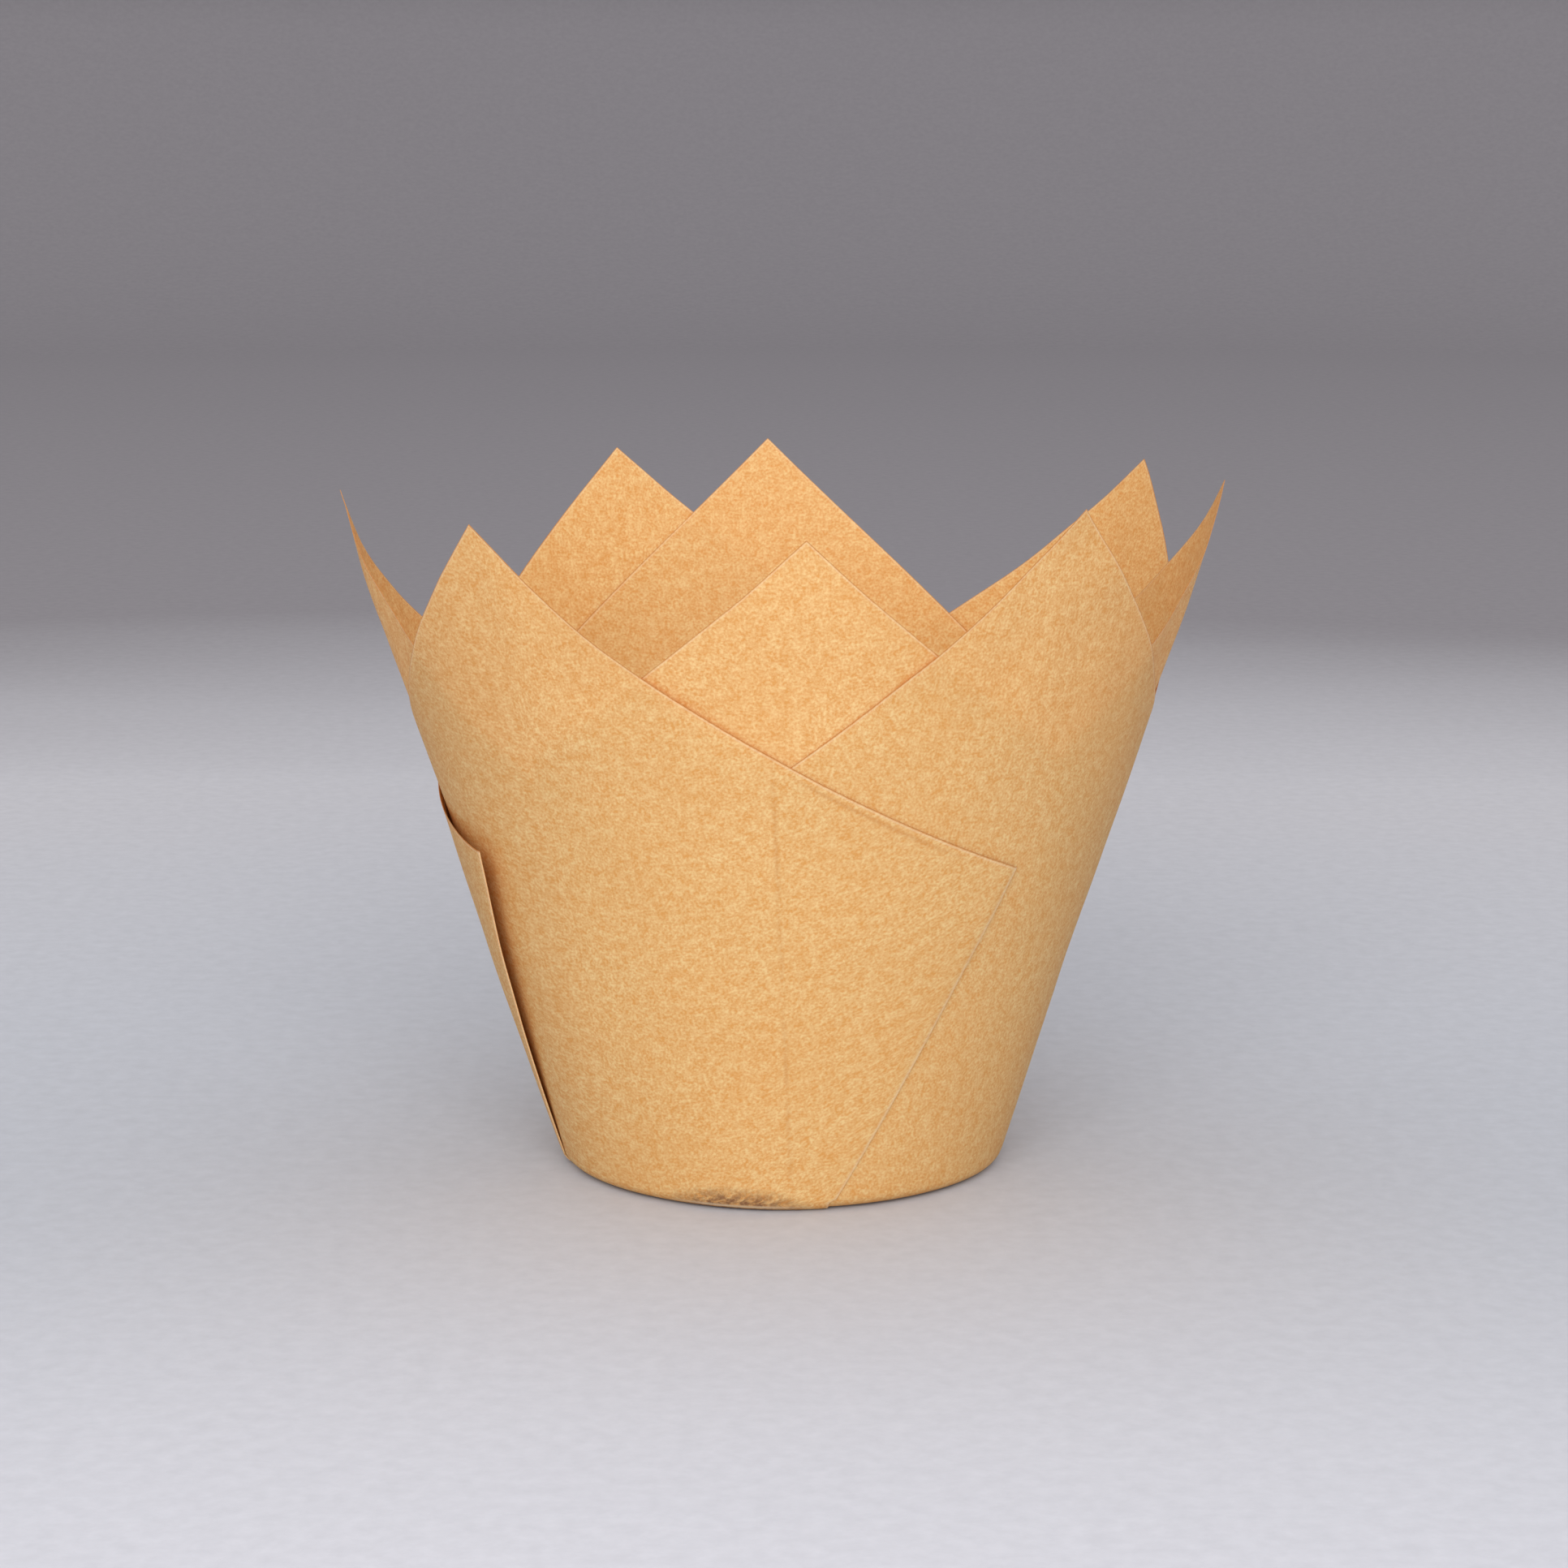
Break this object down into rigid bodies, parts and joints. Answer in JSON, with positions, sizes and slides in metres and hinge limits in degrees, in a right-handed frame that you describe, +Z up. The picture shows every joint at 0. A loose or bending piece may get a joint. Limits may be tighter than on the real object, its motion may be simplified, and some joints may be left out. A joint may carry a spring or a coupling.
{
  "type": "tulip baking cup",
  "caption": "Tapered paper baking cup pressed from crossed square sheets, with pleated sides, a flat round base and pointed petals round the rim.",
  "frame": {"origin": "centre of the round base, on the surface the cup stands on", "axes": "+Z up out of the cup's mouth; -Y towards the side the picture shows; +X to the right in the picture"},
  "size_m": [0.0957, 0.096, 0.0778],
  "materials": {
    "paper": "matte unbleached greaseproof paper with a fine fibre mottle"
  },
  "bodies": {
    "root": {"outer_sheet": "paper", "inner_sheet": "paper"}
  },
  "joints": []
}
